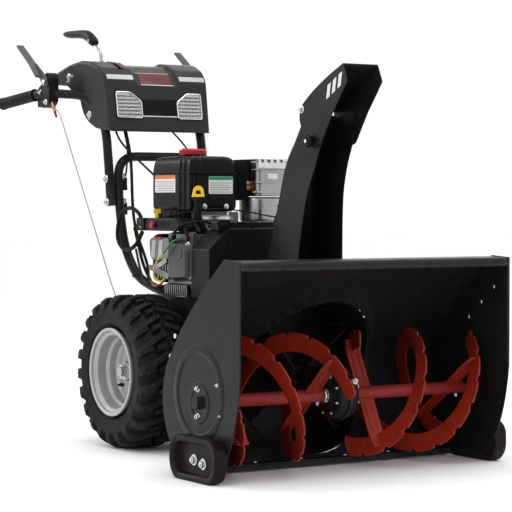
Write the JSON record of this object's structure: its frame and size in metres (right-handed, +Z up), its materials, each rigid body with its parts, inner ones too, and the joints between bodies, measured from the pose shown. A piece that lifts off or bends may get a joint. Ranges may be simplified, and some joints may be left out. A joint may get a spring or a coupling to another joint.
{
  "type": "two stage snowblower",
  "caption": "Walk-behind snowblower with red ribbon augers in a black intake, impeller, turning chute, engine, ribbed tyres and handlebars.",
  "frame": {"origin": "middle of the footprint on the ground", "axes": "+Z up, the intake faces -Y and the handlebars are at +Y, +X is the operator's left seen from the front"},
  "size_m": [0.854, 1.5, 1.154],
  "materials": {
    "black_paint": "satin black paint",
    "red_paint": "semi-gloss dark red paint",
    "silver_paint": "silver paint",
    "steel": "zinc plated",
    "cast": "cast, unpainted",
    "cast_black": "black paint over castings",
    "rubber": "matte",
    "tyre": "matte",
    "black_plastic": "fine grain",
    "shoe_plastic": "scuffed",
    "red_plastic": "gloss",
    "yellow_plastic": "gloss",
    "lens": "clear lens over chrome",
    "bright_steel": "bright pressed steel"
  },
  "bodies": {
    "frame": {"auger_housing": "black_paint", "side_plate_left": "black_paint", "side_plate_right": "black_paint", "impeller_drum": "black_paint", "scraper_bar": "black_paint", "skid_shoe_left": "shoe_plastic", "skid_shoe_right": "shoe_plastic", "gear_case": "cast_black", "chute_collar": "black_paint", "chassis": "black_paint", "belt_cover": "black_plastic", "auger_belt": "rubber", "drive_belt": "rubber", "engine_block": "cast", "valve_cover": "cast", "muffler": "bright_steel", "fuel_tank": "black_plastic", "recoil_housing": "black_plastic", "carburetor_cover": "black_plastic", "switch_box": "black_plastic", "lower_handle": "black_paint", "upper_handle_left": "black_paint", "upper_handle_right": "black_paint", "grip_left": "rubber", "grip_right": "rubber", "lever_bracket_left": "black_plastic", "lever_bracket_right": "black_plastic", "dash_panel": "black_plastic", "headlight_left": "lens", "headlight_right": "lens", "auger_cable": "steel", "traction_cable": "steel", "wiring_harness": "rubber"},
    "impeller_body": {"impeller": "red_paint", "impeller_shaft": "steel"},
    "auger_body": {"auger_shaft": "steel", "auger_rake_left": "red_paint", "auger_rake_right": "red_paint"},
    "crank_body": {"crank_pulley": "steel"},
    "axle_body": {"axle": "steel", "rim_left": "silver_paint", "rim_right": "silver_paint", "tyre_left": "tyre", "tyre_right": "tyre"},
    "hex_shaft_body": {"hex_shaft": "steel"},
    "friction_wheel_body": {"friction_wheel": "rubber"},
    "friction_disc_body": {"friction_disc": "steel"},
    "chute_body": {"chute": "black_paint"},
    "deflector_body": {"chute_deflector": "black_paint"},
    "deflector_knob_body": {"deflector_knob": "black_plastic"},
    "chute_pinion_body": {"chute_pinion": "steel"},
    "auger_lever_body": {"auger_lever": "silver_paint"},
    "traction_lever_body": {"traction_lever": "silver_paint"},
    "speed_lever_body": {"speed_lever": "black_plastic"},
    "fuel_cap_body": {"fuel_cap": "red_plastic"},
    "dipstick_body": {"dipstick": "yellow_plastic"},
    "recoil_handle_body": {"recoil_handle": "black_plastic"},
    "start_button_body": {"start_button": "red_plastic"},
    "ignition_key_body": {"ignition_key": "yellow_plastic"},
    "choke_knob_body": {"choke_knob": "black_plastic"}
  },
  "joints": [
    {"name": "impeller_spin", "type": "hinge", "parent": "frame", "child": "impeller_body", "pos_m": [0, -0.35, 0.215], "axis": [0, 1, 0], "continuous": true},
    {"name": "auger_spin", "type": "hinge", "parent": "frame", "child": "auger_body", "pos_m": [0, -0.568, 0.18], "axis": [1, 0, 0], "continuous": true},
    {"name": "crank_spin", "type": "hinge", "parent": "frame", "child": "crank_body", "pos_m": [0, -0.17, 0.49], "axis": [0, 1, 0], "continuous": true},
    {"name": "axle_spin", "type": "hinge", "parent": "frame", "child": "axle_body", "pos_m": [0, 0.056, 0.203], "axis": [1, 0, 0], "continuous": true},
    {"name": "hex_shaft_spin", "type": "hinge", "parent": "frame", "child": "hex_shaft_body", "pos_m": [0, -0.066, 0.29027], "axis": [1, 0, 0], "continuous": true},
    {"name": "friction_wheel_shift", "type": "slide", "parent": "hex_shaft_body", "child": "friction_wheel_body", "axis": [1, 0, 0], "range_m": [-0.091, 0]},
    {"name": "friction_disc_spin", "type": "hinge", "parent": "frame", "child": "friction_disc_body", "pos_m": [0, -0.14, 0.29027], "axis": [0, 1, 0], "continuous": true},
    {"name": "chute_rotate", "type": "hinge", "parent": "frame", "child": "chute_body", "pos_m": [0.032, -0.374, 0.44], "axis": [0, 0, 1], "range_deg": [-100, 100]},
    {"name": "chute_pinion_spin", "type": "hinge", "parent": "frame", "child": "chute_pinion_body", "pos_m": [0.15, -0.30588, 0.44], "axis": [0, 0, 1], "range_deg": [-401, 401]},
    {"name": "deflector_tilt", "type": "hinge", "parent": "chute_body", "child": "deflector_body", "pos_m": [0.032, -0.442, 0.88], "axis": [1, 0, 0], "range_deg": [0, 55]},
    {"name": "deflector_knob_turn", "type": "hinge", "parent": "chute_body", "child": "deflector_knob_body", "pos_m": [-0.036, -0.487, 0.8], "axis": [1, 0, 0], "range_deg": [0, 180]},
    {"name": "auger_lever_squeeze", "type": "hinge", "parent": "frame", "child": "auger_lever_body", "pos_m": [-0.237, 0.518, 0.99], "axis": [-1, 0, 0], "range_deg": [0, 30], "stiffness_Nm_per_rad": 4, "springref_deg": -14.32},
    {"name": "traction_lever_squeeze", "type": "hinge", "parent": "frame", "child": "traction_lever_body", "pos_m": [0.237, 0.518, 0.99], "axis": [-1, 0, 0], "range_deg": [0, 30], "stiffness_Nm_per_rad": 4, "springref_deg": -14.32},
    {"name": "speed_lever_shift", "type": "hinge", "parent": "frame", "child": "speed_lever_body", "pos_m": [-0.1, 0.462, 0.912], "axis": [1, 0, 0], "range_deg": [0, 35]},
    {"name": "fuel_cap_turn", "type": "hinge", "parent": "frame", "child": "fuel_cap_body", "pos_m": [-0.052, 0.04, 0.78], "axis": [0, 0, 1], "range_deg": [0, 90]},
    {"name": "dipstick_pull", "type": "slide", "parent": "frame", "child": "dipstick_body", "axis": [0, 0, 1], "range_m": [0, 0.06]},
    {"name": "recoil_pull", "type": "slide", "parent": "frame", "child": "recoil_handle_body", "axis": [0, 1, 0], "range_m": [0, 0.06], "stiffness_N_per_m": 60, "springref_m": -0.05},
    {"name": "start_button_press", "type": "slide", "parent": "frame", "child": "start_button_body", "axis": [1, 0, 0], "range_m": [0, 0.003], "stiffness_N_per_m": 500, "springref_m": -0.002},
    {"name": "ignition_key_pull", "type": "slide", "parent": "frame", "child": "ignition_key_body", "axis": [0, 0, 1], "range_m": [0, 0.012]},
    {"name": "choke_turn", "type": "hinge", "parent": "frame", "child": "choke_knob_body", "pos_m": [-0.141, 0.13, 0.59], "axis": [0, 1, 0], "range_deg": [0, 75]}
  ],
  "couplings": [
    {"joint": "auger_spin", "follows": "impeller_spin", "ratio": 0.1},
    {"joint": "hex_shaft_spin", "follows": "axle_spin", "ratio": -3},
    {"joint": "chute_pinion_spin", "follows": "chute_rotate", "ratio": -4},
    {"joint": "friction_wheel_shift", "follows": "speed_lever_shift", "m_per_rad": -0.1473}
  ]
}
